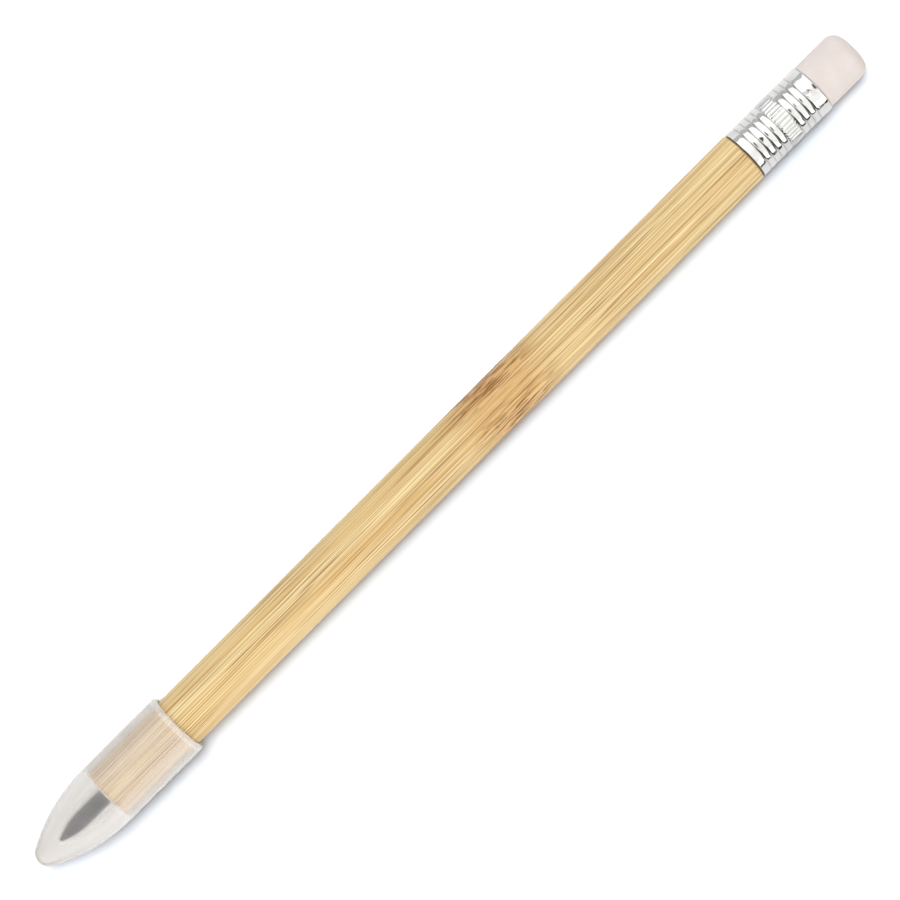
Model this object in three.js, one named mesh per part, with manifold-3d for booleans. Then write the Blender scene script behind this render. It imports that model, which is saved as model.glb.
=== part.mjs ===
// Inkless pencil: a bamboo barrel with a nib of writing alloy, a pull-off plastic cap, and a rolled
// aluminium ferrule that holds an eraser. Millimetres, +Z up. The pencil lies along X with its nib
// towards -X. The origin is under the middle of its length, on the surface that it lies on.
import * as THREE from "three";
import { mergeVertices } from "three/addons/utils/BufferGeometryUtils.js";
import Module from "manifold-3d";

const wasm = await Module();
wasm.setup();

// Facets: every turned piece has the same flats round it, and one of them faces down.
const flatsRound = 32;
const edgeSteps = 3;
const tipSteps = 4;
const noseSteps = 6;
const beadSteps = 4;
const dentSteps = 10;
const mergeDistance = 1e-4;

// Barrel: a bamboo rod turned to one diameter
const barrelDiameter = 9;
const barrelLength = 142; // from its nose to the shoulder in front of the ferrule
const noseChamferLength = 0.5;
const noseChamferDepth = 0.5;
const shoulderRound = 0.4;

// Nib: a rod of writing alloy, glued into a drilled hole in the barrel's nose
const nibDiameter = 2.8;
const nibReach = 10.3; // how far it stands out of the barrel
const nibSeat = 12; // how deep it is held
const nibArcRadius = 12; // of its bullet point
const nibTipRadius = 0.35;
const nibBackChamfer = 0.3;
const glueLine = 0.05; // round the nib
const drillSpare = 0.4; // behind the nib
const drillPointAngle = 118;

// Cap: one moulding with a stepped bore, pushed on until its step stops the barrel's nose
const capSeatDepth = 15.7; // how far the barrel's nose goes in
const capWall = 0.8; // at the mouth
const capFit = 0.1; // round the barrel's nose
const boreDraft = 0.1; // what the bore gains in radius towards the mouth
const capEndThickness = 5; // plastic in front of the nib's pocket
const capArcRadius = 28.5; // of its bullet nose
const capTipRadius = 2.15;
const leadInLength = 1.1;
const leadInDepth = 0.15;
const rimRoundWanted = 0.6;
const rimFlat = 0.05; // between the rim's round and the lead-in
const stopGap = 0.1; // between the barrel's nose and the step
const pocketFit = 0.2; // round the nib, at the pocket's mouth
const pocketDraft = 0.1; // what the pocket loses in radius towards its end
const pocketArcRadius = 12; // of its bullet end
const pocketTipRadius = 0.45;
const pocketEndGap = 0.3; // in front of the nib's tip

// Ferrule: a thin tube, flush with the barrel, with two groups of rolled beads and a fluted band
const ferruleWall = 0.3;
const ferruleFit = 0.1; // round the tenon and the eraser
const shoulderGap = 0.2; // between the barrel's shoulder and the ferrule
const plainBandLength = 1.5;
const beadPitch = 1.2;
const beadDepth = 0.14;
const beadSharpness = 3; // power of the beads' curve, for flat crests and sharp grooves
const frontBeads = 4;
const backBeads = 3;
const fluteBandLength = 2.75;
const fluteCount = 40;
const fluteDepth = 0.1;
const bandLap = 0.15; // how far the beaded tubes reach into the fluted band
const lipBandLength = 2.35;
const dentCount = 4; // staking dents in the band at the lip
const dentWidth = 1;
const dentDepth = 0.14;
const dentFromLip = 1.65;

// Eraser: a plug in the ferrule, with a head that swells out behind the lip
const tenonGap = 0.3; // between the barrel's tenon and the eraser
const lipGap = 0.1; // between the lip and the head
const eraserSwell = 0.15; // how far the head stands over the plug
const eraserReach = 8.8; // how far it stands out of the ferrule
const eraserEdgeRadius = 2;

// Radii and places that follow from the sizes above. The barrel's nose is at 0 along the axis.
const barrelRadius = barrelDiameter / 2;
const nibRadius = nibDiameter / 2;
const boreRadius = barrelRadius + capFit;
const capRadius = boreRadius + boreDraft + capWall;
const pocketRadius = nibRadius + pocketFit;
const pocketEnd = -nibReach - pocketEndGap;
const capEnd = pocketEnd - capEndThickness;
const ferruleStart = barrelLength + shoulderGap;
const fluteStart = ferruleStart + plainBandLength + frontBeads * beadPitch;
const fluteEnd = fluteStart + fluteBandLength;
const lipBandStart = fluteEnd + backBeads * beadPitch;
const ferruleEnd = lipBandStart + lipBandLength;
const tenonEnd = (fluteStart + fluteEnd) / 2;
const plugStart = tenonEnd + tenonGap;
const headStart = ferruleEnd + lipGap;
const eraserEnd = ferruleEnd + eraserReach;
const ferruleBore = barrelRadius - ferruleWall;
const heldRadius = ferruleBore - ferruleFit; // of the tenon and the plug
const heldUnderFlutes = heldRadius - Math.max(beadDepth, fluteDepth); // clear of both

const bamboo = new THREE.MeshStandardMaterial({ color: 0xe1c38c, roughness: 0.5 });
const alloy = new THREE.MeshStandardMaterial({ color: 0x77777a, roughness: 0.4, metalness: 0.8 });
const aluminium = new THREE.MeshStandardMaterial({ color: 0xe2e1dd, roughness: 0.2, metalness: 1 });
const rubber = new THREE.MeshStandardMaterial({ color: 0xede2dc, roughness: 0.8 });
const frostedPlastic = new THREE.MeshStandardMaterial({
  color: 0xe8e6e2,
  roughness: 0.35,
  transparent: true,
  opacity: 0.5,
});

// Points of an arc in an outline. Its angles, in degrees, turn from +X towards larger radii.
function arc(along, height, radius, from, to, steps) {
  return Array.from({ length: steps + 1 }, (_, i) => {
    const turn = THREE.MathUtils.degToRad(from + ((to - from) * i) / steps);
    return [along + radius * Math.cos(turn), height + radius * Math.sin(turn)];
  });
}

// A bullet nose, from its tip at the axis back to a cylinder: a ball that runs into a long arc.
function bulletNose(tip, radius, arcRadius, tipRadius) {
  const ballCentre = tip + tipRadius;
  const centresApart = arcRadius - tipRadius;
  const lean = Math.acos((arcRadius - radius) / centresApart);
  const cylinderStart = ballCentre + centresApart * Math.sin(lean);
  const meeting = 90 + THREE.MathUtils.radToDeg(lean);
  return [
    ...arc(ballCentre, 0, tipRadius, 180, meeting, tipSteps),
    ...arc(cylinderStart, radius - arcRadius, arcRadius, meeting, 90, noseSteps).slice(1),
  ];
}

// A face rolled into beads, each a curve between two grooves. It runs from one place to another, both in
// beads behind the first groove, so that half a bead starts or ends it on a crest.
function beads(groove, from, to, crestRadius) {
  const steps = Math.round((to - from) * beadSteps);
  return Array.from({ length: steps + 1 }, (_, i) => {
    const place = from + i / beadSteps;
    const offCrest = Math.abs(2 * (place - Math.floor(place)) - 1);
    return [groove + place * beadPitch, crestRadius - beadDepth * offCrest ** beadSharpness];
  });
}

// The two rolled groups, which the ferrule presses into the tenon and into the eraser's plug.
const frontGroup = (crestRadius) => beads(ferruleStart + plainBandLength, -0.5, frontBeads, crestRadius);
const backGroup = (crestRadius) => beads(fluteEnd, 0, backBeads + 0.5, crestRadius);

// A piece turned about the pencil's axis. Its outline of [place along the axis, radius] runs from the
// nib's end to the eraser's end over the outside.
function turned(outline) {
  const points = outline.map(([along, radius]) => new THREE.Vector2(radius, along));
  return new THREE.LatheGeometry(points, flatsRound, Math.PI / flatsRound).rotateZ(-Math.PI / 2);
}

function solidOf(geometry) {
  const bare = geometry.clone();
  bare.deleteAttribute("normal");
  bare.deleteAttribute("uv");
  const merged = mergeVertices(bare, mergeDistance);
  return new wasm.Manifold(
    new wasm.Mesh({
      numProp: 3,
      vertProperties: new Float32Array(merged.attributes.position.array),
      triVerts: new Uint32Array(merged.index.array),
    }),
  );
}

function geometryOf(solid) {
  const mesh = solid.getMesh();
  const geometry = new THREE.BufferGeometry();
  geometry.setAttribute("position", new THREE.BufferAttribute(mesh.vertProperties, 3));
  geometry.setIndex(new THREE.BufferAttribute(mesh.triVerts, 1));
  geometry.computeVertexNormals();
  return geometry;
}

// The barrel has the nib's drilled hole in its nose. Its tenon bears the ferrule's beads, pressed into it.
function barrelGeometry() {
  const holeRadius = nibRadius + glueLine;
  const holeEnd = nibSeat + drillSpare;
  const drillPoint = holeRadius / Math.tan(THREE.MathUtils.degToRad(drillPointAngle / 2));
  return turned([
    [holeEnd + drillPoint, 0],
    [holeEnd, holeRadius],
    [0, holeRadius],
    [0, barrelRadius - noseChamferDepth],
    [noseChamferLength, barrelRadius],
    ...arc(barrelLength - shoulderRound, barrelRadius - shoulderRound, shoulderRound, 90, 0, edgeSteps),
    [barrelLength, heldRadius],
    ...frontGroup(heldRadius),
    [fluteStart, heldUnderFlutes],
    [tenonEnd, heldUnderFlutes],
    [tenonEnd, 0],
  ]);
}

function nibGeometry() {
  return turned([
    ...bulletNose(-nibReach, nibRadius, nibArcRadius, nibTipRadius),
    [nibSeat - nibBackChamfer, nibRadius],
    [nibSeat, nibRadius - nibBackChamfer],
    [nibSeat, 0],
  ]);
}

// The cap is bored to the barrel. A flat step stops the barrel's nose, and in it a pocket opens for the nib.
function capGeometry() {
  const mouthRadius = boreRadius + boreDraft;
  const rimRound = Math.min(rimRoundWanted, capWall - leadInDepth - rimFlat);
  const pocketNose = bulletNose(pocketEnd, pocketRadius - pocketDraft, pocketArcRadius, pocketTipRadius);
  return turned([
    ...bulletNose(capEnd, capRadius, capArcRadius, capTipRadius),
    ...arc(capSeatDepth - rimRound, capRadius - rimRound, rimRound, 90, 0, edgeSteps),
    [capSeatDepth, mouthRadius + leadInDepth],
    [capSeatDepth - leadInLength, mouthRadius],
    [-stopGap, boreRadius],
    [-stopGap, pocketRadius],
    ...pocketNose.reverse(),
  ]);
}

// A beaded tube of the ferrule's wall, from an outline of its outer face.
function tube(outerFace) {
  const innerFace = outerFace.map(([along, radius]) => [along, radius - ferruleWall]);
  return solidOf(turned([...outerFace, ...innerFace.reverse(), outerFace[0]]));
}

// The fluted band: a ring of V-shaped folds, the same inside as outside.
function flutedBand() {
  const ring = (crestRadius) =>
    Array.from({ length: 2 * fluteCount }, (_, i) => {
      const turn = (Math.PI * i) / fluteCount;
      const radius = i % 2 ? crestRadius - fluteDepth : crestRadius;
      return new THREE.Vector2(radius * Math.cos(turn), radius * Math.sin(turn));
    });
  const section = new THREE.Shape(ring(barrelRadius));
  section.holes.push(new THREE.Path(ring(ferruleBore)));
  const band = new THREE.ExtrudeGeometry(section, { depth: fluteBandLength, bevelEnabled: false });
  return solidOf(band.rotateY(Math.PI / 2).translate(fluteStart, 0, 0));
}

function ferruleGeometry() {
  const grooveRadius = barrelRadius - beadDepth;
  const front = tube([
    [ferruleStart, barrelRadius],
    ...frontGroup(barrelRadius),
    [fluteStart + bandLap, grooveRadius],
  ]);
  const back = tube([
    [fluteEnd - bandLap, grooveRadius],
    ...backGroup(barrelRadius),
    [ferruleEnd, barrelRadius],
  ]);
  let solid = front.add(flutedBand()).add(back);

  const flatRadius = barrelRadius * Math.cos(Math.PI / flatsRound);
  const ballRadius = dentWidth ** 2 / (8 * dentDepth) + dentDepth / 2;
  for (let i = 0; i < dentCount; i++) {
    const ball = new THREE.SphereGeometry(ballRadius, dentSteps, dentSteps);
    ball.translate(ferruleEnd - dentFromLip, 0, flatRadius - dentDepth + ballRadius);
    solid = solid.subtract(solidOf(ball.rotateX((2 * Math.PI * i) / dentCount)));
  }
  return geometryOf(solid);
}

function eraserGeometry() {
  const headRadius = heldRadius + eraserSwell;
  const edge = [eraserEnd - eraserEdgeRadius, headRadius - eraserEdgeRadius];
  return turned([
    [plugStart, 0],
    [plugStart, heldUnderFlutes],
    [fluteEnd, heldUnderFlutes],
    ...backGroup(heldRadius),
    ...arc(headStart + eraserSwell, heldRadius, eraserSwell, 180, 90, edgeSteps),
    ...arc(...edge, eraserEdgeRadius, 90, 0, 2 * edgeSteps),
    [eraserEnd, 0],
  ]);
}

// The pencil lies on the cap, its widest piece.
const pencil = new THREE.Group();
pencil.position.set(-(capEnd + eraserEnd) / 2, 0, capRadius * Math.cos(Math.PI / flatsRound));

function addPiece(name, geometry, material) {
  const mesh = new THREE.Mesh(geometry, material);
  mesh.name = name;
  pencil.add(mesh);
}

addPiece("bamboo_barrel", barrelGeometry(), bamboo);
addPiece("nib", nibGeometry(), alloy);
addPiece("cap", capGeometry(), frostedPlastic);
addPiece("ferrule", ferruleGeometry(), aluminium);
addPiece("eraser", eraserGeometry(), rubber);

const inklessPencil = new THREE.Group();
inklessPencil.add(pencil);

export default inklessPencil;
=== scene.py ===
import math

import bmesh
import bpy
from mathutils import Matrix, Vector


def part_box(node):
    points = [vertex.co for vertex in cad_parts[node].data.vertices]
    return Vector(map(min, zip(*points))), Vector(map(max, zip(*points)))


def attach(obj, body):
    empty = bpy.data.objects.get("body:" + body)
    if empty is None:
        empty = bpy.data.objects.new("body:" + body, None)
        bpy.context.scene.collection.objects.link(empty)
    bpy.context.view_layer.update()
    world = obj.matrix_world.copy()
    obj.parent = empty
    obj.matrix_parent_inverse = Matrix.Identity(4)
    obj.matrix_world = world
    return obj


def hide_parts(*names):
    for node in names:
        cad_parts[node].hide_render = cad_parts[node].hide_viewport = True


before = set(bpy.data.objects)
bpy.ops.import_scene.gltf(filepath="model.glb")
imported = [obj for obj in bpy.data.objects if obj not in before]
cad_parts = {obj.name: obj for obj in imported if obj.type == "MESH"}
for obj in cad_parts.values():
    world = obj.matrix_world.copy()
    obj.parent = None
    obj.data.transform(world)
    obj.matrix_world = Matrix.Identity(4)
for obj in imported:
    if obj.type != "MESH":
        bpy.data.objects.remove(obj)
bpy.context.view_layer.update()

# Lengths in the dictionaries are millimetres, and Blender's are metres.
mm = 0.001
cadFlats = 32  # flats round a turned CAD piece, whose corners lie on the true circle
boxes = {node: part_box(node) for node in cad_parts}
axisHeight = sum(corner.z for corner in boxes["cap"]) / 2
print("frame loaded:", ", ".join(sorted(boxes)))


def trueRadius(node):
    low, high = boxes[node]
    return (high.z - low.z) / 2 / math.cos(math.pi / cadFlats)


# Where a node starts and ends along the pencil
def endsOf(node):
    return [corner.x for corner in boxes[node]]


barrelRadius = trueRadius("bamboo_barrel")
nibRadius = trueRadius("nib")
capRadius = trueRadius("cap")
headRadius = trueRadius("eraser")
noseEnd, tenonEnd = endsOf("bamboo_barrel")
nibTip, nibBack = endsOf("nib")
capTip, capMouth = endsOf("cap")
ferruleStart, ferruleEnd = endsOf("ferrule")
plugFront, eraserEnd = endsOf("eraser")


# sRGB hex to the linear colour that shaders take
def linear(hexColour):
    parts = [int(hexColour[i:i + 2], 16) / 255 for i in (1, 3, 5)]
    return (*[c / 12.92 if c <= 0.04045 else ((c + 0.055) / 1.055) ** 2.4 for c in parts], 1)


# Gives a node's inputs plain values or links. A node stands for its first output in use.
def feed(tree, node, inputs):
    for key, value in inputs.items():
        if isinstance(value, bpy.types.Node):
            value = next(output for output in value.outputs if output.enabled)
        if isinstance(value, bpy.types.NodeSocket):
            tree.links.new(value, node.inputs[key])
        else:
            node.inputs[key].default_value = value


# Adds a node with its settings, values and links. A colour Mix has its two colours at inputs 6 and 7.
def addNode(tree, kind, inputs=None, **settings):
    node = tree.nodes.new(kind)
    for name, value in settings.items():
        setattr(node, name, value)
    feed(tree, node, inputs or {})
    return node


def startMaterial(name):
    material = bpy.data.materials.new(name)
    material.use_nodes = True
    tree = material.node_tree
    place = addNode(tree, "ShaderNodeTexCoord").outputs["Object"]
    return material, tree, tree.nodes["Principled BSDF"], place


# Mapping scale for a grain of these sizes along the pencil and across it
def grain(along, across):
    return (1 / (along * mm), 1 / (across * mm), 1 / (across * mm))


# In a finish's dictionary, From and To are the values of a noise, or the places, between which a look
# comes in.
bamboo = {
    "deep": "#B58C49", "pale": "#EBD39C", "warm": "#C29049", "amber": "#CB8B36",
    # the last colour of these is painted shade for the shoulder before the ferrule
    "line": "#82572A", "fleck": "#845108", "shoulderShade": "#5E3F20",
    # noises stretched along the cane: fine fibres, wider strands, slow changes of tone, thin lines and the
    # joint's flecks. Each comes in between two values of its noise, up to a share of the colour.
    "layers": {
        "fibre": {"width": 0.2, "length": 30, "detail": 3, "from": 0.34, "to": 0.62, "share": 1},
        "strand": {"width": 0.7, "length": 70, "detail": 2, "from": 0.45, "to": 0.72, "share": 0.5},
        "tone": {"width": 4.5, "length": 40, "detail": 1, "from": 0.42, "to": 0.75, "share": 0.25},
        "line": {"width": 0.24, "length": 22, "detail": 2, "from": 0.585, "to": 0.65, "share": 0.72},
        "fleck": {"width": 0.32, "length": 4.5, "detail": 2, "from": 0.5, "to": 0.58, "share": 0.95},
    },
    "slide": (5.7, 7, 5), "layerSlide": 3,  # pick the stretch of grain that shows
    "jointAt": 13, "jointHalf": 12, "jointCore": 3, "jointShare": 0.35,  # from the pencil's middle
    "jointWander": 0.25, "swirlLength": 5, "swirlWidth": 2.4,
    "clearTop": 0.1, "fullSide": 0.55,  # shares of the radius between which the flecks come in
    "poreSpacing": 0.5, "poreEdge": 0.42, "poreCore": 0.2, "endGrain": 0.6,
    # painted shade on the shoulder's round, dark brown, between these places
    "shoulderShadeFrom": 0.42, "shoulderShadeTo": 0.14, "shoulderShadeShare": 0.85,  # before the ferrule
    "roughHigh": 0.52, "roughLow": 0.38, "reliefDepth": 0.03, "reliefStrength": 0.25,
    "ior": 1.5, "varnish": 0.15, "varnishRough": 0.28,
}


# Bamboo, sanded and thinly varnished: straw yellow with long fibre lines, a soft sheen, and brown flecks
# where the fibres cross at the joint of the cane
def varnishedBamboo():
    material, tree, surface, place = startMaterial("bamboo, sanded and varnished")
    along, sideways = addNode(tree, "ShaderNodeSeparateXYZ", {0: place}).outputs[:2]

    # how near a place is to the joint, from 0 to 1
    offJoint = addNode(tree, "ShaderNodeMath", {0: along, 1: bamboo["jointAt"] * mm}, operation="SUBTRACT")
    farFromJoint = addNode(tree, "ShaderNodeMath", {0: offJoint}, operation="ABSOLUTE")
    joint = addNode(tree, "ShaderNodeMapRange", {
        "Value": farFromJoint, "From Min": bamboo["jointHalf"] * mm, "From Max": bamboo["jointCore"] * mm,
    }, interpolation_type="SMOOTHSTEP")

    # fibres wander sideways round the joint
    swirlScale = addNode(tree, "ShaderNodeMapping", {
        "Vector": place, "Scale": grain(bamboo["swirlLength"], bamboo["swirlWidth"]),
    })
    swirl = addNode(tree, "ShaderNodeTexNoise", {"Vector": swirlScale, "Scale": 1, "Detail": 1})
    sway = addNode(tree, "ShaderNodeVectorMath", {
        0: swirl.outputs["Color"], 1: (0.5, 0.5, 0.5),  # a noise's middle
    }, operation="SUBTRACT")
    reach = addNode(tree, "ShaderNodeMath", {0: joint, 1: bamboo["jointWander"] * mm}, operation="MULTIPLY")
    swayed = addNode(tree, "ShaderNodeVectorMath", {0: sway, "Scale": reach}, operation="SCALE")
    fibrePlace = addNode(tree, "ShaderNodeVectorMath", {0: place, 1: swayed}, operation="ADD")

    noises = {}
    shares = {}
    slideAlong, slideAcross, slideUp = bamboo["slide"]
    for number, (name, layer) in enumerate(bamboo["layers"].items()):
        scaled = addNode(tree, "ShaderNodeMapping", {
            "Vector": fibrePlace, "Scale": grain(layer["length"], layer["width"]),
            "Location": (slideAlong + number * bamboo["layerSlide"], slideAcross, slideUp),
        })
        noises[name] = addNode(tree, "ShaderNodeTexNoise", {
            "Vector": scaled, "Scale": 1, "Detail": layer["detail"],
        })
        shares[name] = addNode(tree, "ShaderNodeMapRange", {
            "Value": noises[name], "From Min": layer["from"], "From Max": layer["to"],
            "To Max": layer["share"],
        })

    # the joint's flecks lie on the cane's sides and leave its top clear
    fromTop = addNode(tree, "ShaderNodeMath", {0: sideways, 1: barrelRadius}, operation="DIVIDE")
    offTop = addNode(tree, "ShaderNodeMath", {0: fromTop}, operation="ABSOLUTE")
    onSide = addNode(tree, "ShaderNodeMapRange", {
        "Value": offTop, "From Min": bamboo["clearTop"], "From Max": bamboo["fullSide"],
    })
    jointSide = addNode(tree, "ShaderNodeMath", {0: onSide, 1: joint}, operation="MULTIPLY")
    fleckShare = addNode(tree, "ShaderNodeMath", {0: shares["fleck"], 1: jointSide}, operation="MULTIPLY")
    jointShare = addNode(tree, "ShaderNodeMath", {0: joint, 1: bamboo["jointShare"]}, operation="MULTIPLY")
    colour = linear(bamboo["deep"])
    for share, over in [
        (shares["fibre"], "pale"),
        (shares["strand"], "warm"),
        (shares["tone"], "pale"),
        (jointShare, "amber"),
        (shares["line"], "line"),
        (fleckShare, "fleck"),
    ]:
        colour = addNode(tree, "ShaderNodeMix", {
            0: share, 6: colour, 7: linear(bamboo[over]),
        }, data_type="RGBA")

    # dark bundle ends in the end grain of the nose
    across = 1 / (bamboo["poreSpacing"] * mm)
    poreScale = addNode(tree, "ShaderNodeMapping", {"Vector": place, "Scale": (0, across, across)})
    pores = addNode(tree, "ShaderNodeTexVoronoi", {"Vector": poreScale, "Scale": 1})
    poreShape = addNode(tree, "ShaderNodeMapRange", {
        "Value": pores.outputs["Distance"], "From Min": bamboo["poreEdge"], "From Max": bamboo["poreCore"],
    })
    inNose = addNode(tree, "ShaderNodeMath", {
        0: along, 1: noseEnd + bamboo["endGrain"] * mm,
    }, operation="LESS_THAN")
    pore = addNode(tree, "ShaderNodeMath", {0: poreShape, 1: inNose}, operation="MULTIPLY")
    ended = addNode(tree, "ShaderNodeMix", {0: pore, 6: colour, 7: linear(bamboo["line"])}, data_type="RGBA")

    # the turned edge before the ferrule is darkened brown: painted shade where it rounds into the gap
    shoulderShade = addNode(tree, "ShaderNodeMapRange", {
        "Value": along, "From Min": ferruleStart - bamboo["shoulderShadeFrom"] * mm,
        "From Max": ferruleStart - bamboo["shoulderShadeTo"] * mm, "To Max": bamboo["shoulderShadeShare"],
    })
    shoulderShaded = addNode(tree, "ShaderNodeMix", {
        0: shoulderShade, 6: ended, 7: linear(bamboo["shoulderShade"]),
    }, data_type="RGBA")

    rough = addNode(tree, "ShaderNodeMapRange", {
        "Value": noises["fibre"], "To Min": bamboo["roughHigh"], "To Max": bamboo["roughLow"],
    })
    lineDrop = addNode(tree, "ShaderNodeMath", {0: noises["fibre"], 1: shares["line"]}, operation="SUBTRACT")
    bump = addNode(tree, "ShaderNodeBump", {
        "Height": lineDrop, "Strength": bamboo["reliefStrength"], "Distance": bamboo["reliefDepth"] * mm,
    })
    feed(tree, surface, {
        "Base Color": shoulderShaded, "Roughness": rough, "Normal": bump, "IOR": bamboo["ior"],
        "Coat Weight": bamboo["varnish"], "Coat Roughness": bamboo["varnishRough"],
    })
    return material


plastic = {
    "milk": "#F4F1EE", "ior": 1.49,
    "clearNose": 0.955, "clearBore": 0.885, "clearRim": 0.74,  # shares of the light that pass
    "hazeBefore": 2, "hazeAfter": 0.5,  # the haze comes in between these, from the barrel's nose
    "frostFrom": 1.2, "frostTo": 0.8,  # from the mouth
    "edgeMilk": 0.4, "edgeCurve": 2, "lampsThrough": 1.0,
    "cloudLength": 6, "cloudWidth": 3, "cloudFrom": 0.3, "cloudTo": 0.7, "cloudiness": 0.02,
    "rough": 0.22, "roughCloud": 0.04, "grainSize": 0.12, "reliefDepth": 0.02, "reliefStrength": 0.06,
}


# Polypropylene from a polished mould, unpigmented: milky see-through, with a waxy gloss and slightly cloudy
def mouldedPolypropylene():
    material, tree, surface, place = startMaterial("polypropylene, moulded and unpigmented")
    cloudScale = addNode(tree, "ShaderNodeMapping", {
        "Vector": place, "Scale": grain(plastic["cloudLength"], plastic["cloudWidth"]),
    })
    cloud = addNode(tree, "ShaderNodeTexNoise", {"Vector": cloudScale, "Scale": 1, "Detail": 3})
    cloudy = addNode(tree, "ShaderNodeMapRange", {
        "Value": cloud, "From Min": plastic["cloudFrom"], "From Max": plastic["cloudTo"],
        "To Min": -plastic["cloudiness"], "To Max": plastic["cloudiness"],
    })

    # clear in the solid nose, hazier round the bore and frosted at the rim
    along = addNode(tree, "ShaderNodeSeparateXYZ", {0: place}).outputs[0]
    atBore = addNode(tree, "ShaderNodeMapRange", {
        "Value": along, "From Min": noseEnd - plastic["hazeBefore"] * mm,
        "From Max": noseEnd + plastic["hazeAfter"] * mm,
        "To Min": plastic["clearNose"], "To Max": plastic["clearBore"],
    })
    atRim = addNode(tree, "ShaderNodeMapRange", {
        "Value": along, "From Min": capMouth - plastic["frostFrom"] * mm,
        "From Max": capMouth - plastic["frostTo"] * mm, "To Max": plastic["clearRim"] - plastic["clearBore"],
    })

    # milkier towards its outline, where a look passes through more plastic
    facing = addNode(tree, "ShaderNodeLayerWeight", {"Blend": 0.5}).outputs["Facing"]
    grazing = addNode(tree, "ShaderNodeMath", {0: facing, 1: plastic["edgeCurve"]}, operation="POWER")
    edge = addNode(tree, "ShaderNodeMath", {0: grazing, 1: -plastic["edgeMilk"]}, operation="MULTIPLY")
    clear = atBore
    for change in (atRim, cloudy, edge):
        clear = addNode(tree, "ShaderNodeMath", {0: clear, 1: change}, operation="ADD")

    rough = addNode(tree, "ShaderNodeMath", {
        0: cloud, 1: plastic["roughCloud"], 2: plastic["rough"],
    }, operation="MULTIPLY_ADD")
    grainScale = addNode(tree, "ShaderNodeMapping", {
        "Vector": place, "Scale": grain(plastic["grainSize"], plastic["grainSize"]),
    })
    fine = addNode(tree, "ShaderNodeTexNoise", {"Vector": grainScale, "Scale": 1, "Detail": 1})
    bump = addNode(tree, "ShaderNodeBump", {
        "Height": fine, "Strength": plastic["reliefStrength"], "Distance": plastic["reliefDepth"] * mm,
    })
    feed(tree, surface, {
        "Base Color": linear(plastic["milk"]), "IOR": plastic["ior"], "Transmission Weight": clear,
        "Roughness": rough, "Normal": bump,
    })

    # lamps reach what is seen through the wall, less where it slants, and the cap still shades the paper
    path = addNode(tree, "ShaderNodeLightPath").outputs
    straight = addNode(tree, "ShaderNodeMapRange", {
        "Value": grazing, "To Min": plastic["lampsThrough"], "To Max": 0,
    })
    inside = addNode(tree, "ShaderNodeMath", {
        0: path["Transmission Depth"], 1: 0.5,  # past at least one wall
    }, operation="GREATER_THAN")
    within = addNode(tree, "ShaderNodeMath", {0: inside, 1: straight}, operation="MULTIPLY")
    passed = addNode(tree, "ShaderNodeMath", {0: path["Is Shadow Ray"], 1: within}, operation="MULTIPLY")
    window = addNode(tree, "ShaderNodeBsdfTransparent")
    both = addNode(tree, "ShaderNodeMixShader", {0: passed, 1: surface, 2: window})
    feed(tree, tree.nodes["Material Output"], {"Surface": both})
    return material


aluminium = {
    "bright": "#EDECE8", "dull": "#D9D8D3", "smudgeSize": 2.5, "dullFrom": 0.45, "dullTo": 0.75,
    "roughLow": 0.09, "roughHigh": 0.17, "roughFrom": 0.35, "roughTo": 0.75,
    # grime and painted shade, dark at the bottoms of the grooves
    "grimeAndShade": "#4B4A47", "grimeAndShadeFrom": 0.07, "grimeAndShadeTo": 0.15, "grimeAndShadeShare": 0.28,
    "rollWidth": 0.11, "rollLength": 4, "reliefDepth": 0.01, "reliefStrength": 0.05,
}


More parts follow.
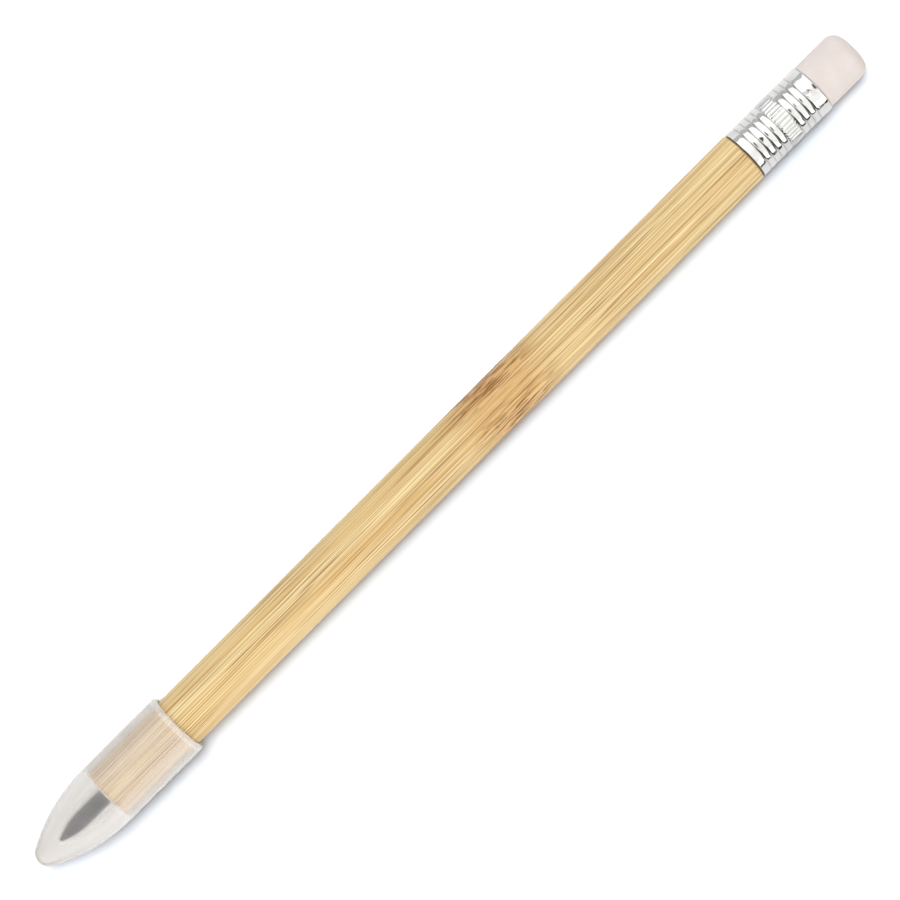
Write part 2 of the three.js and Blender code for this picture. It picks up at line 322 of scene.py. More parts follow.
# Aluminium, rolled from bright strip: mirror-like with faint lines round the tube and dull finger marks
def rolledAluminium():
    material, tree, surface, place = startMaterial("aluminium, rolled and bright")
    smudgeScale = addNode(tree, "ShaderNodeMapping", {
        "Vector": place, "Scale": grain(aluminium["smudgeSize"], aluminium["smudgeSize"]),
    })
    smudge = addNode(tree, "ShaderNodeTexNoise", {"Vector": smudgeScale, "Scale": 1, "Detail": 4})
    rollScale = addNode(tree, "ShaderNodeMapping", {
        "Vector": place, "Scale": grain(aluminium["rollWidth"], aluminium["rollLength"]),
    })
    rolled = addNode(tree, "ShaderNodeTexNoise", {"Vector": rollScale, "Scale": 1, "Detail": 2})
    share = addNode(tree, "ShaderNodeMapRange", {
        "Value": smudge, "From Min": aluminium["dullFrom"], "From Max": aluminium["dullTo"],
    })
    strip = addNode(tree, "ShaderNodeMix", {
        0: share, 6: linear(aluminium["bright"]), 7: linear(aluminium["dull"]),
    }, data_type="RGBA")

    # grime and painted shade darken the grooves, told by their depth under the tube's outside
    fromAxis = addNode(tree, "ShaderNodeVectorMath", {0: place, 1: (0, 0, axisHeight)}, operation="SUBTRACT")
    across = addNode(tree, "ShaderNodeVectorMath", {0: fromAxis, 1: (0, 1, 1)}, operation="MULTIPLY")
    outFar = addNode(tree, "ShaderNodeVectorMath", {0: across}, operation="LENGTH")
    grimeAndShade = addNode(tree, "ShaderNodeMapRange", {
        "Value": outFar.outputs["Value"], "From Min": barrelRadius - aluminium["grimeAndShadeFrom"] * mm,
        "From Max": barrelRadius - aluminium["grimeAndShadeTo"] * mm, "To Max": aluminium["grimeAndShadeShare"],
    })
    colour = addNode(tree, "ShaderNodeMix", {
        0: grimeAndShade, 6: strip, 7: linear(aluminium["grimeAndShade"]),
    }, data_type="RGBA")

    rough = addNode(tree, "ShaderNodeMapRange", {
        "Value": smudge, "From Min": aluminium["roughFrom"], "From Max": aluminium["roughTo"],
        "To Min": aluminium["roughLow"], "To Max": aluminium["roughHigh"],
    })
    bump = addNode(tree, "ShaderNodeBump", {
        "Height": rolled, "Strength": aluminium["reliefStrength"], "Distance": aluminium["reliefDepth"] * mm,
    })
    feed(tree, surface, {"Base Color": colour, "Roughness": rough, "Normal": bump, "Metallic": 1})
    return material


rubber = {
    "light": "#DFD4CE", "shade": "#DACFC8", "mottleSize": 2.4, "shadeFrom": 0.35, "shadeTo": 0.7,
    "gritSize": 0.22, "roughLow": 0.62, "roughHigh": 0.85, "reliefDepth": 0.03, "reliefStrength": 0.2,
    "soak": 0.15, "soakDepths": (1.0, 0.7, 0.5),  # how far red, green and blue light get in
}


# Vinyl rubber, moulded and tumbled: chalky, matt, pale pinkish white with a fine grit
def mattRubber():
    material, tree, surface, place = startMaterial("vinyl rubber, moulded and matt")
    mottleScale = addNode(tree, "ShaderNodeMapping", {
        "Vector": place, "Scale": grain(rubber["mottleSize"], rubber["mottleSize"]),
    })
    mottle = addNode(tree, "ShaderNodeTexNoise", {"Vector": mottleScale, "Scale": 1, "Detail": 4})
    gritScale = addNode(tree, "ShaderNodeMapping", {
        "Vector": place, "Scale": grain(rubber["gritSize"], rubber["gritSize"]),
    })
    grit = addNode(tree, "ShaderNodeTexNoise", {"Vector": gritScale, "Scale": 1, "Detail": 2})
    share = addNode(tree, "ShaderNodeMapRange", {
        "Value": mottle, "From Min": rubber["shadeFrom"], "From Max": rubber["shadeTo"],
    })
    colour = addNode(tree, "ShaderNodeMix", {
        0: share, 6: linear(rubber["light"]), 7: linear(rubber["shade"]),
    }, data_type="RGBA")
    rough = addNode(tree, "ShaderNodeMapRange", {
        "Value": grit, "To Min": rubber["roughLow"], "To Max": rubber["roughHigh"],
    })
    bump = addNode(tree, "ShaderNodeBump", {
        "Height": grit, "Strength": rubber["reliefStrength"], "Distance": rubber["reliefDepth"] * mm,
    })
    feed(tree, surface, {
        "Base Color": colour, "Roughness": rough, "Normal": bump, "Subsurface Weight": rubber["soak"],
        "Subsurface Radius": [depth * mm for depth in rubber["soakDepths"]], "Subsurface Scale": 1,
    })
    return material


alloy = {
    "dark": "#19191B", "rubbed": "#2B2B2E", "rubbedFrom": 0.4, "rubbedTo": 0.7, "metallic": 0.9,
    "wearLength": 2.4, "wearWidth": 1.2, "roughHigh": 0.46, "roughLow": 0.3,
    "ringWidth": 0.16, "ringLength": 3, "reliefDepth": 0.02, "reliefStrength": 0.15,
}


# Soft writing alloy of lead-free tin, turned to a point: dark grey, satin, rubbed lighter in patches
def turnedAlloy():
    material, tree, surface, place = startMaterial("writing alloy, turned and satin")
    wearScale = addNode(tree, "ShaderNodeMapping", {
        "Vector": place, "Scale": grain(alloy["wearLength"], alloy["wearWidth"]),
    })
    wear = addNode(tree, "ShaderNodeTexNoise", {"Vector": wearScale, "Scale": 1, "Detail": 3})
    ringScale = addNode(tree, "ShaderNodeMapping", {
        "Vector": place, "Scale": grain(alloy["ringWidth"], alloy["ringLength"]),
    })
    rings = addNode(tree, "ShaderNodeTexNoise", {"Vector": ringScale, "Scale": 1, "Detail": 1})
    share = addNode(tree, "ShaderNodeMapRange", {
        "Value": wear, "From Min": alloy["rubbedFrom"], "From Max": alloy["rubbedTo"],
    })
    colour = addNode(tree, "ShaderNodeMix", {
        0: share, 6: linear(alloy["dark"]), 7: linear(alloy["rubbed"]),
    }, data_type="RGBA")
    rough = addNode(tree, "ShaderNodeMapRange", {
        "Value": wear, "To Min": alloy["roughHigh"], "To Max": alloy["roughLow"],
    })
    bump = addNode(tree, "ShaderNodeBump", {
        "Height": rings, "Strength": alloy["reliefStrength"], "Distance": alloy["reliefDepth"] * mm,
    })
    feed(tree, surface, {
        "Base Color": colour, "Roughness": rough, "Normal": bump, "Metallic": alloy["metallic"],
    })
    return material


bambooFinish = varnishedBamboo()
plasticFinish = mouldedPolypropylene()
aluminiumFinish = rolledAluminium()
rubberFinish = mattRubber()
alloyFinish = turnedAlloy()
print("materials made")


# Points of an arc in an outline of places along the pencil and radii, its angles in degrees from +X
def arcPoints(along, height, radius, start, end, steps):
    turns = [math.radians(start + (end - start) * i / steps) for i in range(steps + 1)]
    return [(along + radius * math.cos(turn), height + radius * math.sin(turn)) for turn in turns]


# A bullet nose from its tip back to a cylinder: a ball that runs into a long arc
def bulletNose(tip, radius, arcRadius, tipRadius, steps):
    ballCentre = tip + tipRadius
    centresApart = arcRadius - tipRadius
    lean = math.acos((arcRadius - radius) / centresApart)
    cylinderStart = ballCentre + centresApart * math.sin(lean)
    meeting = 90 + math.degrees(lean)
    ball = arcPoints(ballCentre, 0, tipRadius, 180, meeting, steps // 2)
    ball[0] = (tip, 0)
    return ball + arcPoints(cylinderStart, radius - arcRadius, arcRadius, meeting, 90, steps)[1:]


# Adds points to an outline so that no step is longer than this
def finer(outline, longest):
    points = [outline[0]]
    for (x0, r0), (x1, r1) in zip(outline, outline[1:]):
        steps = max(1, math.ceil(math.hypot(x1 - x0, r1 - r0) / longest))
        points += [(x0 + (x1 - x0) * i / steps, r0 + (r1 - r0) * i / steps) for i in range(1, steps + 1)]
    return points


# Puts a mesh into the scene as an object
def addObject(name, shape):
    mesh = bpy.data.meshes.new(name)
    shape.to_mesh(mesh)
    shape.free()
    thing = bpy.data.objects.new(name, mesh)
    bpy.context.scene.collection.objects.link(thing)
    return thing


# Turns an outline about the pencil's axis. It starts and ends on the axis, or else closes on itself.
def turnPiece(name, outline, sides):
    shape = bmesh.new()
    rings = []
    for along, radius in outline:
        turns = [2 * math.pi * i / sides for i in range(sides if radius > 0 else 1)]
        rings.append([
            shape.verts.new((along, radius * math.cos(turn), axisHeight + radius * math.sin(turn)))
            for turn in turns
        ])
    onAxis = len(rings[0]) == 1
    for near, far in zip(rings, rings[1:] if onAxis else rings[1:] + rings[:1]):
        for i in range(sides):
            corners = [ring[k % len(ring)] for ring, k in ((near, i), (near, i + 1), (far, i + 1), (far, i))]
            shape.faces.new(list(dict.fromkeys(corners)))  # two corners fall together at a pole
    bmesh.ops.recalc_face_normals(shape, faces=shape.faces[:])
    return addObject(name, shape)


# Starts a Geometry Nodes tree that presses into a turned surface, with a named input for each size
def startPress(name, sizes):
    tree = bpy.data.node_groups.new(name, "GeometryNodeTree")
    tree.interface.new_socket("Mesh", in_out="OUTPUT", socket_type="NodeSocketGeometry")
    tree.interface.new_socket("Mesh", in_out="INPUT", socket_type="NodeSocketGeometry")
    for size in sizes:
        tree.interface.new_socket(size, in_out="INPUT", socket_type="NodeSocketFloat")
    tree.interface.new_socket("Finish", in_out="INPUT", socket_type="NodeSocketMaterial")
    given = addNode(tree, "NodeGroupInput").outputs
    place = addNode(tree, "GeometryNodeInputPosition")
    fromAxis = addNode(tree, "ShaderNodeVectorMath", {0: place, 1: (0, 0, axisHeight)}, operation="SUBTRACT")
    parts = addNode(tree, "ShaderNodeSeparateXYZ", {0: fromAxis}).outputs
    return tree, given, parts


# Ends such a tree: every point moves towards the axis by the given depth
def endPress(tree, given, parts, depth):
    across = addNode(tree, "ShaderNodeCombineXYZ", {1: parts[1], 2: parts[2]})
    outward = addNode(tree, "ShaderNodeVectorMath", {0: across}, operation="NORMALIZE")
    inward = addNode(tree, "ShaderNodeMath", {0: depth, 1: -1}, operation="MULTIPLY")
    shift = addNode(tree, "ShaderNodeVectorMath", {0: outward, "Scale": inward}, operation="SCALE")
    moved = addNode(tree, "GeometryNodeSetPosition", {"Geometry": given["Mesh"], "Offset": shift})
    real = addNode(tree, "GeometryNodeRealizeInstances", {0: moved})
    coated = addNode(tree, "GeometryNodeSetMaterial", {"Geometry": real, "Material": given["Finish"]})
    addNode(tree, "NodeGroupOutput", {0: coated})
    return tree


# Beads, each a curve between two grooves, counted from the first groove. Sharpness flattens their crests.
def rolledBeads():
    tree, given, parts = startPress("rolled beads", [
        "First groove", "Pitch", "Depth", "Sharpness", "From bead", "To bead",
    ])
    offGroove = addNode(tree, "ShaderNodeMath", {
        0: parts[0], 1: given["First groove"],
    }, operation="SUBTRACT")
    bead = addNode(tree, "ShaderNodeMath", {0: offGroove, 1: given["Pitch"]}, operation="DIVIDE")
    after = addNode(tree, "ShaderNodeMath", {0: bead, 1: given["From bead"]}, operation="GREATER_THAN")
    before = addNode(tree, "ShaderNodeMath", {0: bead, 1: given["To bead"]}, operation="LESS_THAN")
    inside = addNode(tree, "ShaderNodeMath", {0: after, 1: before}, operation="MULTIPLY")
    inBead = addNode(tree, "ShaderNodeMath", {0: bead}, operation="FRACT")
    fromCrest = addNode(tree, "ShaderNodeMapRange", {"Value": inBead, "To Min": -1, "To Max": 1})
    offCrest = addNode(tree, "ShaderNodeMath", {0: fromCrest}, operation="ABSOLUTE")
    curve = addNode(tree, "ShaderNodeMath", {0: offCrest, 1: given["Sharpness"]}, operation="POWER")
    drop = addNode(tree, "ShaderNodeMath", {0: curve, 1: given["Depth"]}, operation="MULTIPLY")
    depth = addNode(tree, "ShaderNodeMath", {0: drop, 1: inside}, operation="MULTIPLY")
    return endPress(tree, given, parts, depth)


# Flutes along a band. At both ends the band runs out into a groove.
def pressedFlutes():
    tree, given, parts = startPress("pressed flutes", [
        "Start", "End", "Count", "Depth", "Groove", "Run-out",
    ])
    fromStart = addNode(tree, "ShaderNodeMath", {0: parts[0], 1: given["Start"]}, operation="SUBTRACT")
    fromEnd = addNode(tree, "ShaderNodeMath", {0: given["End"], 1: parts[0]}, operation="SUBTRACT")
    inBand = addNode(tree, "ShaderNodeMath", {0: fromStart, 1: fromEnd}, operation="MINIMUM")
    inside = addNode(tree, "ShaderNodeMath", {0: inBand, 1: 0}, operation="GREATER_THAN")
    sunk = addNode(tree, "ShaderNodeMapRange", {
        "Value": inBand, "From Max": given["Run-out"], "To Min": given["Groove"], "To Max": 0,
    }, interpolation_type="SMOOTHSTEP")
    turn = addNode(tree, "ShaderNodeMath", {0: parts[2], 1: parts[1]}, operation="ARCTAN2")
    wave = addNode(tree, "ShaderNodeMath", {0: turn, 1: given["Count"]}, operation="MULTIPLY")
    swing = addNode(tree, "ShaderNodeMath", {0: wave}, operation="COSINE")
    flute = addNode(tree, "ShaderNodeMapRange", {
        "Value": swing, "From Min": 1, "From Max": -1, "To Max": given["Depth"],
    })
    deeper = addNode(tree, "ShaderNodeMath", {0: flute, 1: sunk}, operation="MAXIMUM")
    depth = addNode(tree, "ShaderNodeMath", {0: deeper, 1: inside}, operation="MULTIPLY")
    return endPress(tree, given, parts, depth)


# Round staking dents, evenly spaced round the tube with one on top
def stakedDents():
    tree, given, parts = startPress("staked dents", [
        "Place", "Spacing", "Tube radius", "Ball radius", "Depth",
    ])
    turn = addNode(tree, "ShaderNodeMath", {0: parts[1], 1: parts[2]}, operation="ARCTAN2")
    apart = addNode(tree, "ShaderNodeMath", {0: turn, 1: given["Spacing"]}, operation="DIVIDE")
    nearest = addNode(tree, "ShaderNodeMath", {0: apart}, operation="ROUND")
    offDent = addNode(tree, "ShaderNodeMath", {0: apart, 1: nearest}, operation="SUBTRACT")
    offTurn = addNode(tree, "ShaderNodeMath", {0: offDent, 1: given["Spacing"]}, operation="MULTIPLY")
    offRound = addNode(tree, "ShaderNodeMath", {0: offTurn, 1: given["Tube radius"]}, operation="MULTIPLY")
    offAlong = addNode(tree, "ShaderNodeMath", {0: parts[0], 1: given["Place"]}, operation="SUBTRACT")
    offBoth = addNode(tree, "ShaderNodeCombineXYZ", {0: offRound, 1: offAlong})
    far = addNode(tree, "ShaderNodeVectorMath", {0: offBoth}, operation="LENGTH").outputs["Value"]
    farSquared = addNode(tree, "ShaderNodeMath", {0: far, 1: 2}, operation="POWER")
    ballSquared = addNode(tree, "ShaderNodeMath", {0: given["Ball radius"], 1: 2}, operation="POWER")
    left = addNode(tree, "ShaderNodeMath", {0: ballSquared, 1: farSquared}, operation="SUBTRACT")
    height = addNode(tree, "ShaderNodeMath", {0: left}, operation="SQRT")  # 0 outside the ball
    raised = addNode(tree, "ShaderNodeMath", {
        0: given["Ball radius"], 1: given["Depth"],
    }, operation="SUBTRACT")
    drop = addNode(tree, "ShaderNodeMath", {0: height, 1: raised}, operation="SUBTRACT")
    depth = addNode(tree, "ShaderNodeMath", {0: drop, 1: 0}, operation="MAXIMUM")
    return endPress(tree, given, parts, depth)


# An uneven surface, as of fibres, rolled strip or rubbed rubber, that fades out at both ends
def unevenSurface():
    tree, given, parts = startPress("uneven surface", [
        "Along", "Across", "Depth", "Start", "End", "Fade", "Seed",
    ])
    along = addNode(tree, "ShaderNodeMath", {0: parts[0], 1: given["Along"]}, operation="DIVIDE")
    sideways = addNode(tree, "ShaderNodeMath", {0: parts[1], 1: given["Across"]}, operation="DIVIDE")
    upwards = addNode(tree, "ShaderNodeMath", {0: parts[2], 1: given["Across"]}, operation="DIVIDE")
    place = addNode(tree, "ShaderNodeCombineXYZ", {0: along, 1: sideways, 2: upwards})
    noise = addNode(tree, "ShaderNodeTexNoise", {
        "Vector": place, "W": given["Seed"], "Scale": 1, "Detail": 2,
    }, noise_dimensions="4D")
    fromStart = addNode(tree, "ShaderNodeMath", {0: parts[0], 1: given["Start"]}, operation="SUBTRACT")
    fromEnd = addNode(tree, "ShaderNodeMath", {0: given["End"], 1: parts[0]}, operation="SUBTRACT")
    within = addNode(tree, "ShaderNodeMath", {0: fromStart, 1: fromEnd}, operation="MINIMUM")
    fade = addNode(tree, "ShaderNodeMapRange", {
        "Value": within, "From Max": given["Fade"], "To Max": given["Depth"],
    }, interpolation_type="SMOOTHSTEP")
    depth = addNode(tree, "ShaderNodeMath", {0: noise, 1: fade}, operation="MULTIPLY")
    return endPress(tree, given, parts, depth)


# Puts a tree on a piece, with each input set by its socket's identifier
def pressInto(piece, tree, finish, sizes):
    modifier = piece.modifiers.new(tree.name, "NODES")
    modifier.node_group = tree
    values = {**sizes, "Finish": finish}
    for socket in tree.interface.items_tree:
        if socket.in_out == "INPUT" and socket.name in values:
            modifier[socket.identifier] = values[socket.name]


sharpFrom = 38  # degrees between two faces that meet in an edge


# Makes a piece's modifiers real, shades it, and hands it to the frame
def finishPiece(piece, finish, body, node):
    evaluated = piece.evaluated_get(bpy.context.evaluated_depsgraph_get())
    plain = bpy.data.meshes.new_from_object(evaluated)
    piece.modifiers.clear()
    piece.data = plain
    plain.name = piece.name
    plain.materials.clear()
    plain.materials.append(finish)
    plain.polygons.foreach_set("material_index", [0] * len(plain.polygons))
    plain.polygons.foreach_set("use_smooth", [True] * len(plain.polygons))
    plain.set_sharp_from_angle(angle=math.radians(sharpFrom))
    plain.update()
    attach(piece, body)
    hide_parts(node)
    print(piece.name, "made:", len(plain.polygons), "faces")


beadTree = rolledBeads()
fluteTree = pressedFlutes()
dentTree = stakedDents()
unevenTree = unevenSurface()

ferrule = {
    "wall": 0.3, "fit": 0.1, "shoulderGap": 0.2, "rimRound": 0.1, "rimSteps": 5, "sides": 320,
    "plainBand": 1.5, "plainStep": 0.48,
    "beadPitch": 1.2, "beadDepth": 0.14, "beadSharpness": 4,
    "frontBeads": 4, "backBeads": 3, "beadSteps": 16,
    "fluteBand": 2.75, "fluteCount": 40, "fluteDepth": 0.1, "fluteRunOut": 0.3, "fluteSteps": 14,
    "dentCount": 4, "dentWidth": 1.0, "dentDepth": 0.2, "dentFromLip": 1.65, "dentStep": 0.08,
    "unevenDepth": 0.12, "unevenSize": 1.6, "unevenFade": 0.4, "seed": 2.0,
}
beadPitch = ferrule["beadPitch"] * mm
beadStep = beadPitch / ferrule["beadSteps"]
firstGroove = ferruleStart + ferrule["plainBand"] * mm
fluteStart = firstGroove + ferrule["frontBeads"] * beadPitch
fluteEnd = fluteStart + ferrule["fluteBand"] * mm
lastGroove = fluteEnd + ferrule["backBeads"] * beadPitch
heldRadius = barrelRadius - (ferrule["wall"] + ferrule["fit"]) * mm
underFlutes = heldRadius - max(ferrule["beadDepth"], ferrule["fluteDepth"]) * mm
runOut = 0.5  # of a bead, over which a plain band runs down into the groove beside it
hair = 1e-4  # of a bead or a millimetre, puts the points on a band's end on the side that is meant


# Sizes for a group of beads, counted from its first groove
def beadSizes(groove, fromBead, toBead):
    return {
        "First groove": groove, "Pitch": beadPitch, "Depth": ferrule["beadDepth"] * mm,
        "Sharpness": ferrule["beadSharpness"], "From bead": fromBead, "To bead": toBead,
    }


# A tube, rolled into two groups of beads with a fluted band between them, and staked near its lip
def makeFerrule():
    outer = barrelRadius
    inner = barrelRadius - ferrule["wall"] * mm
    rim = ferrule["rimRound"] * mm
    rimSteps = ferrule["rimSteps"]
    frontRun = firstGroove - runOut * beadPitch
    backRun = lastGroove + runOut * beadPitch
    places = [ferruleStart + rim]
    for start, end, step in [
        (ferruleStart + rim, frontRun, ferrule["plainStep"] * mm),
        (frontRun, fluteStart, beadStep),
        (fluteStart, fluteEnd, ferrule["fluteBand"] / ferrule["fluteSteps"] * mm),
        (fluteEnd, backRun, beadStep),
        (backRun, ferruleEnd - rim, ferrule["dentStep"] * mm),
    ]:
        count = round((end - start) / step)
        places += [start + (end - start) * i / count for i in range(1, count + 1)]
    piece = turnPiece("rolledFerrule", [
        *arcPoints(ferruleStart + rim, outer - rim, rim, 180, 90, rimSteps)[:-1],
        *[(along, outer) for along in places],
        *arcPoints(ferruleEnd - rim, outer - rim, rim, 90, 0, rimSteps)[1:],
        (ferruleEnd, inner),
        *[(along, inner) for along in reversed(places[::2])],  # the inside hardly shows
        (ferruleStart, inner),
    ], ferrule["sides"])

    frontSizes = beadSizes(firstGroove, -runOut, ferrule["frontBeads"] + hair)
    backSizes = beadSizes(fluteEnd, -hair, ferrule["backBeads"] + runOut)
    pressInto(piece, beadTree, aluminiumFinish, frontSizes)
    pressInto(piece, beadTree, aluminiumFinish, backSizes)
    pressInto(piece, fluteTree, aluminiumFinish, {
        "Start": fluteStart + hair * mm, "End": fluteEnd - hair * mm, "Count": ferrule["fluteCount"],
        "Depth": ferrule["fluteDepth"] * mm, "Groove": ferrule["beadDepth"] * mm,
        "Run-out": ferrule["fluteRunOut"] * mm,
    })
    ballRadius = ferrule["dentWidth"] ** 2 / (8 * ferrule["dentDepth"]) + ferrule["dentDepth"] / 2
    pressInto(piece, dentTree, aluminiumFinish, {
        "Place": ferruleEnd - ferrule["dentFromLip"] * mm, "Spacing": 2 * math.pi / ferrule["dentCount"],
        "Tube radius": outer, "Ball radius": ballRadius * mm, "Depth": ferrule["dentDepth"] * mm,
    })
    pressInto(piece, unevenTree, aluminiumFinish, {
        "Along": ferrule["unevenSize"] * mm, "Across": ferrule["unevenSize"] * mm,
        "Depth": ferrule["unevenDepth"] * mm, "Fade": ferrule["unevenFade"] * mm,
        "Start": ferruleStart, "End": ferruleEnd, "Seed": ferrule["seed"],
    })
    finishPiece(piece, aluminiumFinish, "pencil", "ferrule")
    return piece


barrel = {
    "chamferLength": 0.5, "chamferDepth": 0.5, "shoulderRound": 0.4, "shoulderSteps": 6,
    "glueLine": 0.05, "drillSpare": 0.4, "drillPoint": 118, "sides": 256, "longestFace": 1.0,
    "reliefDepth": 0.02, "fibreWidth": 0.5, "fibreLength": 50, "fade": 2, "seed": 4.0,
}


# A bamboo rod with a chamfered and drilled nose, and a tenon that bears the ferrule's beads
def makeBarrel():
    hole = nibRadius + barrel["glueLine"] * mm
    holeEnd = nibBack + barrel["drillSpare"] * mm
    drillTip = hole / math.tan(math.radians(barrel["drillPoint"] / 2))
    shoulder = ferruleStart - ferrule["shoulderGap"] * mm
    edge = barrel["shoulderRound"] * mm
    chamferEnd = noseEnd + barrel["chamferLength"] * mm
    skin = [
        (noseEnd, barrelRadius - barrel["chamferDepth"] * mm),
        (chamferEnd, barrelRadius),
        (shoulder - edge, barrelRadius),
    ]
    piece = turnPiece("bambooBarrel", [
        (holeEnd + drillTip, 0),
        (holeEnd, hole),
        (noseEnd, hole),
        *finer(skin, barrel["longestFace"] * mm),
        *arcPoints(shoulder - edge, barrelRadius - edge, edge, 90, 0, barrel["shoulderSteps"])[1:],
        *finer([(shoulder, heldRadius), (fluteStart, heldRadius)], beadStep),
        (fluteStart, underFlutes),
        (tenonEnd, underFlutes),
        (tenonEnd, 0),
    ], barrel["sides"])
    pressInto(piece, unevenTree, bambooFinish, {
        "Along": barrel["fibreLength"] * mm, "Across": barrel["fibreWidth"] * mm,
        "Depth": barrel["reliefDepth"] * mm, "Fade": barrel["fade"] * mm,
        "Start": chamferEnd, "End": shoulder - edge, "Seed": barrel["seed"],
    })
    pressInto(piece, beadTree, bambooFinish, beadSizes(firstGroove, -runOut, ferrule["frontBeads"] - hair))
    finishPiece(piece, bambooFinish, "pencil", "bamboo_barrel")


nib = {
    "arcRadius": 12, "tipRadius": 0.35, "arcSteps": 16, "backChamfer": 0.3, "sides": 128, "longestFace": 0.8,
}


# A rod with a bullet point
def makeNib():
    chamfer = nib["backChamfer"] * mm
    outline = [
        *bulletNose(nibTip, nibRadius, nib["arcRadius"] * mm, nib["tipRadius"] * mm, nib["arcSteps"]),
        (nibBack - chamfer, nibRadius),
        (nibBack, nibRadius - chamfer),
        (nibBack, 0),
    ]
    piece = turnPiece("writingNib", finer(outline, nib["longestFace"] * mm), nib["sides"])
    finishPiece(piece, alloyFinish, "pencil", "nib")


cap = {
    "fit": 0.1, "draft": 0.1, "arcRadius": 28.5, "tipRadius": 2.15, "arcSteps": 28,
    "leadIn": 1.1, "leadInDepth": 0.15, "rimRound": 0.6, "rimSteps": 8, "stopGap": 0.1, "endThickness": 5,
    "pocketFit": 0.45, "pocketDraft": 0.1, "pocketArc": 12, "pocketTip": 0.45, "pocketSteps": 16,
    "sides": 256, "longestFace": 0.6,
}


# One moulding: a bullet outside, with a bore for the barrel, a step for its nose and a pocket for the nib
def makeCap():
    bore = barrelRadius + cap["fit"] * mm
    mouthRadius = bore + cap["draft"] * mm
    pocket = nibRadius + cap["pocketFit"] * mm
    rim = cap["rimRound"] * mm
    step = noseEnd - cap["stopGap"] * mm
    pocketNose = bulletNose(
        capTip + cap["endThickness"] * mm, pocket - cap["pocketDraft"] * mm,
        cap["pocketArc"] * mm, cap["pocketTip"] * mm, cap["pocketSteps"],
    )
    outline = [
        *bulletNose(capTip, capRadius, cap["arcRadius"] * mm, cap["tipRadius"] * mm, cap["arcSteps"]),
        *arcPoints(capMouth - rim, capRadius - rim, rim, 90, 0, cap["rimSteps"]),
        (capMouth, mouthRadius + cap["leadInDepth"] * mm),
        (capMouth - cap["leadIn"] * mm, mouthRadius),
        (step, bore),
        (step, pocket),
        *reversed(pocketNose),
    ]
    piece = turnPiece("pullCap", finer(outline, cap["longestFace"] * mm), cap["sides"])
    finishPiece(piece, plasticFinish, "cap", "cap")
    return piece


eraser = {
    "lipGap": 0.1, "swellSteps": 5, "edgeRadius": 2, "edgeSteps": 16, "sides": 192, "longestFace": 0.25,
    "wearDepth": 0.02, "wearSize": 2.2, "fade": 1.2, "seed": 7.0,
}


# A plug that takes the ferrule's beads, with a head that swells out behind the lip
def makeEraser():
    head = ferruleEnd + eraser["lipGap"] * mm
    swell = headRadius - heldRadius
    edge = eraser["edgeRadius"] * mm
    outline = [
        (plugFront, 0),
        (plugFront, underFlutes),
        (fluteEnd, underFlutes),
        *finer([(fluteEnd, heldRadius), (head, heldRadius)], beadStep),
        *arcPoints(head + swell, heldRadius, swell, 180, 90, eraser["swellSteps"])[1:],
        *arcPoints(eraserEnd - edge, headRadius - edge, edge, 90, 0, eraser["edgeSteps"]),
        (eraserEnd, 0),
    ]
    piece = turnPiece("eraserPlug", finer(outline, eraser["longestFace"] * mm), eraser["sides"])
    pressInto(piece, beadTree, rubberFinish, beadSizes(fluteEnd, hair, ferrule["backBeads"] + runOut))
    fade = eraser["fade"] * mm
    pressInto(piece, unevenTree, rubberFinish, {
        "Along": eraser["wearSize"] * mm, "Across": eraser["wearSize"] * mm,
        "Depth": eraser["wearDepth"] * mm, "Fade": fade,
        "Start": head, "End": eraserEnd + fade, "Seed": eraser["seed"],  # the end face is worn too
    })
    finishPiece(piece, rubberFinish, "pencil", "eraser")


makeBarrel()
makeNib()
shinyTube = makeFerrule()
makeEraser()
clearCap = makeCap()

stage = {
    "paper": "#F2F4F7", "bounce": "#E3E2E0", "throughPlastic": "#E6E4E2", "size": 3000,
    "speckSize": 2, "roughLow": 0.85, "roughHigh": 0.95, "gloss": 0.2,
}


# White paper that the cap's mouth and the ferrule's lip both rest on
def makeFloor():
    material, tree, surface, place = startMaterial("paper, white and matt")
    speckScale = addNode(tree, "ShaderNodeMapping", {
        "Vector": place, "Scale": grain(stage["speckSize"], stage["speckSize"]),
    })
    speck = addNode(tree, "ShaderNodeTexNoise", {"Vector": speckScale, "Scale": 1})
    rough = addNode(tree, "ShaderNodeMapRange", {
        "Value": speck, "To Min": stage["roughLow"], "To Max": stage["roughHigh"],
    })
    # over-exposed white in the picture, as in a cut-out photograph, and greyer where the pencil mirrors it
    path = addNode(tree, "ShaderNodeLightPath").outputs
    colour = addNode(tree, "ShaderNodeMix", {
        0: path["Is Camera Ray"], 6: linear(stage["bounce"]), 7: linear(stage["paper"]),
    }, data_type="RGBA")
    feed(tree, surface, {"Base Color": colour, "Roughness": rough, "Specular IOR Level": stage["gloss"]})
    # seen through the plastic it glows evenly, as the plastic spreads the light
    glow = addNode(tree, "ShaderNodeEmission", {"Color": linear(stage["throughPlastic"])})
    both = addNode(tree, "ShaderNodeMixShader", {0: path["Is Transmission Ray"], 1: surface, 2: glow})
    feed(tree, tree.nodes["Material Output"], {"Surface": both})

    slope = (capRadius - barrelRadius) / (ferruleEnd - capMouth)
    half = stage["size"] / 2 * mm
    shape = bmesh.new()
    corners = []
    for x, y in [(-half, -half), (half, -half), (half, half), (-half, half)]:
        corners.append(shape.verts.new((x, y, axisHeight - capRadius + slope * (x - capMouth))))
    shape.faces.new(corners)
    paper = addObject("paperFloor", shape)
    paper.data.materials.append(material)
    return paper


floor = makeFloor()

# The camera looks straight down, turned so that the pencil runs up to the right.
camera = {
    "height": 520, "lens": 131.67, "sensor": 36, "nearest": 10, "turn": -45.03,
    "alongAxis": 1.175, "acrossAxis": 0.1,
    "bodyRadius": 125, "bodySides": 64, "bodyGap": 1, "bodyColour": "#101010",
}


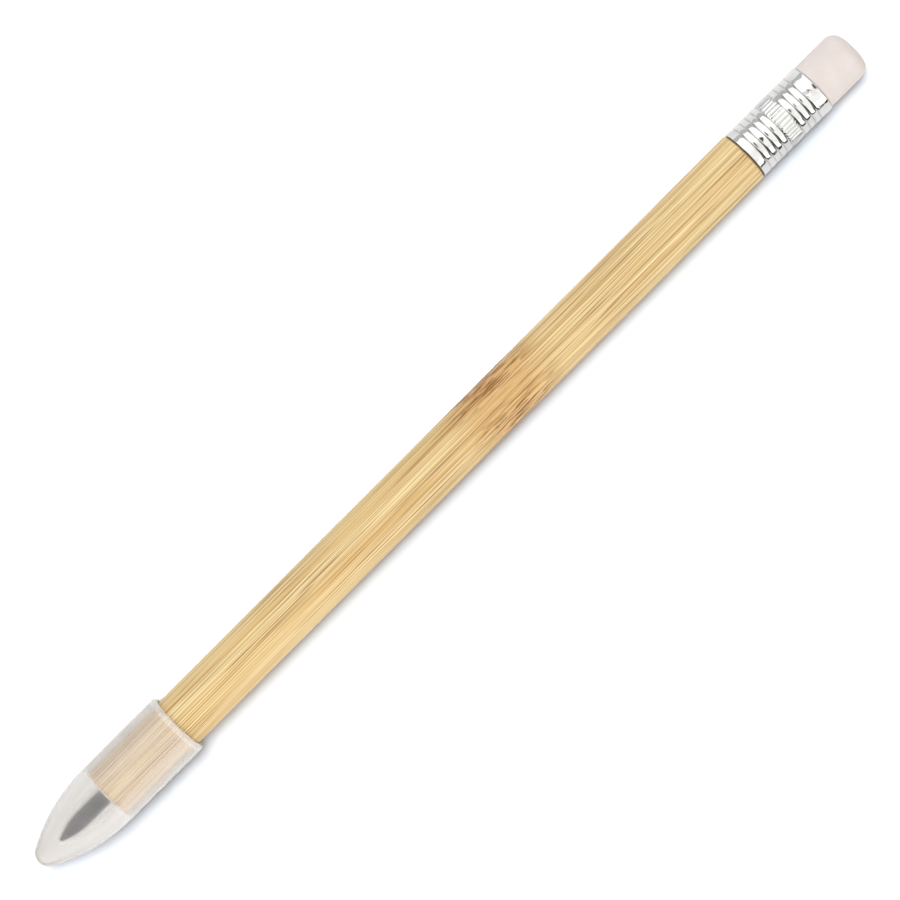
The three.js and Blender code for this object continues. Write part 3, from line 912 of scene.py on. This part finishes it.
def makeCamera():
    data = bpy.data.cameras.new("camera")
    data.lens = camera["lens"]
    data.sensor_width = camera["sensor"]
    data.dof.use_dof = False
    data.clip_start = camera["nearest"] * mm
    eye = bpy.data.objects.new("camera", data)
    eye.location = (camera["alongAxis"] * mm, camera["acrossAxis"] * mm, axisHeight + camera["height"] * mm)
    eye.rotation_euler = (0, 0, math.radians(camera["turn"]))
    bpy.context.scene.collection.objects.link(eye)
    bpy.context.scene.camera = eye

    # the ferrule's beads mirror the black body of the camera
    material, tree, surface = startMaterial("camera body, black")[:3]
    feed(tree, surface, {"Base Color": linear(camera["bodyColour"])})
    shape = bmesh.new()
    bmesh.ops.create_circle(
        shape, cap_ends=True, segments=camera["bodySides"], radius=camera["bodyRadius"] * mm,
    )
    body = addObject("cameraBody", shape)
    body.data.materials.append(material)
    body.location = eye.location
    body.location.z += camera["bodyGap"] * mm
    body.visible_camera = body.visible_shadow = body.visible_diffuse = False


makeCamera()

# Panels of light round the pencil. Brightness 1 is that of white paper in the picture, and places follow the
# picture's own right and up, seen from the camera. Upright panels face the pencil. A card of its own lights
# the ferrule, whose beads mirror its edges, and another gives the cap its sheen.
panels = {
    "overhead": {
        "right": 0, "up": 440, "height": 800, "width": 3667, "depth": 2273, "upright": False,
        "brightness": 1.05, "lights": "all",
    },
    "front": {
        "right": 800, "up": -268, "height": 106, "width": 2400, "depth": 214, "upright": True,
        "brightness": 2.1, "lights": "matt",
    },
    "sheen": {
        "right": 47, "up": -142, "height": 60, "width": 85, "depth": 120, "upright": True,
        "brightness": 0.95, "lights": "cap",
    },
    "card": {
        "right": 285, "up": -134, "height": 141, "width": 270, "depth": 160, "upright": True,
        "brightness": 1.6, "lights": "ferrule",
    },
}
# The key lights the floor alone, from the upper left of the picture, and leaves a narrow shadow.
key = {"lean": 7.5, "spread": 26, "brightness": 1.0, "colour": "#F7FAFF"}
# The studio's walls are dark on the pencil's near side and pale on its far side, and turn from one to the
# other between two values of a direction's Y.
studio = {"tint": "#F8FBFF", "front": 0.04, "frontFrom": -0.2, "back": 0.56, "backFrom": 0.4}


# Lets a lamp light one piece alone, all but the floor, or all but the floor and the ferrule
def linkLamp(lamp, lights):
    state, pieces = {
        "floor": ("INCLUDE", [floor]),
        "ferrule": ("INCLUDE", [shinyTube]),
        "cap": ("INCLUDE", [clearCap]),
        "all": ("EXCLUDE", [floor]),
        "matt": ("EXCLUDE", [floor, shinyTube]),
    }[lights]
    receivers = bpy.data.collections.new(lamp.name + " receivers")
    for piece in pieces:
        receivers.objects.link(piece)
    for entry in receivers.collection_objects:
        entry.light_linking.link_state = state
    lamp.light_linking.receiver_collection = receivers


def makeLights():
    turn = math.radians(camera["turn"])
    for name, panel in panels.items():
        data = bpy.data.lights.new(name, "AREA")
        data.shape = "RECTANGLE"
        data.size = panel["width"] * mm
        data.size_y = panel["depth"] * mm
        data.energy = panel["brightness"] * math.pi * data.size * data.size_y
        lamp = bpy.data.objects.new(name, data)
        right = panel["right"] * mm
        up = panel["up"] * mm
        lamp.location = (
            right * math.cos(turn) - up * math.sin(turn),
            right * math.sin(turn) + up * math.cos(turn),
            panel["height"] * mm,
        )
        lamp.rotation_euler = (math.radians(90 if panel["upright"] else 0), 0, turn)
        lamp.visible_camera = False
        bpy.context.scene.collection.objects.link(lamp)
        linkLamp(lamp, panel["lights"])

    data = bpy.data.lights.new("key", "SUN")
    data.angle = math.radians(key["spread"])
    data.energy = key["brightness"] * math.pi
    data.color = linear(key["colour"])[:3]
    lamp = bpy.data.objects.new("key", data)
    lamp.rotation_euler = (math.radians(-key["lean"]), 0, 0)
    bpy.context.scene.collection.objects.link(lamp)
    linkLamp(lamp, "floor")


def makeStudio():
    world = bpy.data.worlds.new("studio")
    world.use_nodes = True
    tree = world.node_tree
    direction = addNode(tree, "ShaderNodeTexCoord").outputs["Generated"]
    across = addNode(tree, "ShaderNodeSeparateXYZ", {0: direction}).outputs[1]
    brightness = addNode(tree, "ShaderNodeMapRange", {
        "Value": across, "From Min": studio["frontFrom"], "From Max": studio["backFrom"],
        "To Min": studio["front"], "To Max": studio["back"],
    })
    feed(tree, tree.nodes["Background"], {"Color": linear(studio["tint"]), "Strength": brightness})
    bpy.context.scene.world = world


makeLights()
makeStudio()
bpy.context.scene.view_settings.view_transform = "Standard"
print("stage, camera and lights made")
